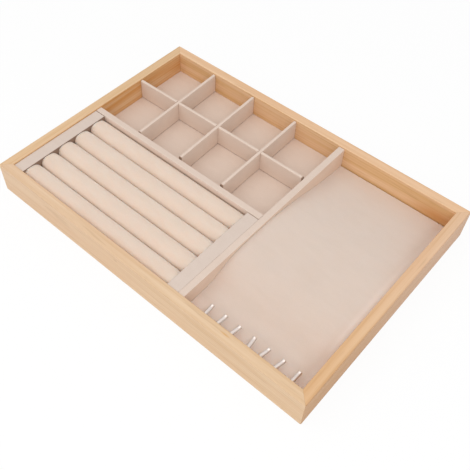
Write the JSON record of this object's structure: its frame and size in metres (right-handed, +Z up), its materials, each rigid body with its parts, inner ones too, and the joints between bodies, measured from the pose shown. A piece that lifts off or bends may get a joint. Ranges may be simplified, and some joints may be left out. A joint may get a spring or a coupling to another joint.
{
  "type": "jewelry tray",
  "caption": "Shallow open wooden jewelry tray with velvet ring rolls, a lift-out divided grid of small cells and an arched necklace pad under a row of metal hooks.",
  "frame": {"origin": "middle of the footprint, on the surface that the tray stands on", "axes": "+X along the front rail towards the necklace bay, +Y from the hooks' rail to the back, +Z up"},
  "size_m": [0.35, 0.24, 0.032],
  "materials": {
    "frame_wood": "satin clear lacquer",
    "panel_wood": "bare sanded ply",
    "board_velvet": "short velvet on card",
    "pad_velvet": "short velvet on foam",
    "hook_metal": "bright nickel plate"
  },
  "bodies": {
    "tray": {"front_rail": "frame_wood", "back_rail": "frame_wood", "left_rail": "frame_wood", "right_rail": "frame_wood", "base_panel": "panel_wood", "main_divider": "board_velvet", "bay_divider": "board_velvet", "grid_floor": "board_velvet", "necklace_pad": "pad_velvet", "necklace_hook_1": "hook_metal", "necklace_hook_2": "hook_metal", "necklace_hook_3": "hook_metal", "necklace_hook_4": "hook_metal", "necklace_hook_5": "hook_metal", "necklace_hook_6": "hook_metal", "necklace_hook_7": "hook_metal"},
    "ring_insert": {"ring_insert_card": "board_velvet", "ring_end_strip_left": "board_velvet", "ring_end_strip_right": "board_velvet", "ring_roll_1": "pad_velvet", "ring_roll_2": "pad_velvet", "ring_roll_3": "pad_velvet", "ring_roll_4": "pad_velvet", "ring_roll_5": "pad_velvet"},
    "grid_long": {"grid_long_divider": "board_velvet"},
    "grid_cross_1": {"grid_cross_divider_1": "board_velvet"},
    "grid_cross_2": {"grid_cross_divider_2": "board_velvet"},
    "grid_cross_3": {"grid_cross_divider_3": "board_velvet"}
  },
  "joints": [
    {"name": "ring_insert_lift", "type": "slide", "parent": "tray", "child": "ring_insert", "axis": [0, 0, 1], "range_m": [0, 0.03]},
    {"name": "grid_lift", "type": "slide", "parent": "tray", "child": "grid_long", "axis": [0, 0, 1], "range_m": [0, 0.03]},
    {"name": "grid_cross_1_lift", "type": "slide", "parent": "grid_long", "child": "grid_cross_1", "axis": [0, 0, 1], "range_m": [0, 0.03]},
    {"name": "grid_cross_2_lift", "type": "slide", "parent": "grid_long", "child": "grid_cross_2", "axis": [0, 0, 1], "range_m": [0, 0.03]},
    {"name": "grid_cross_3_lift", "type": "slide", "parent": "grid_long", "child": "grid_cross_3", "axis": [0, 0, 1], "range_m": [0, 0.03]}
  ]
}
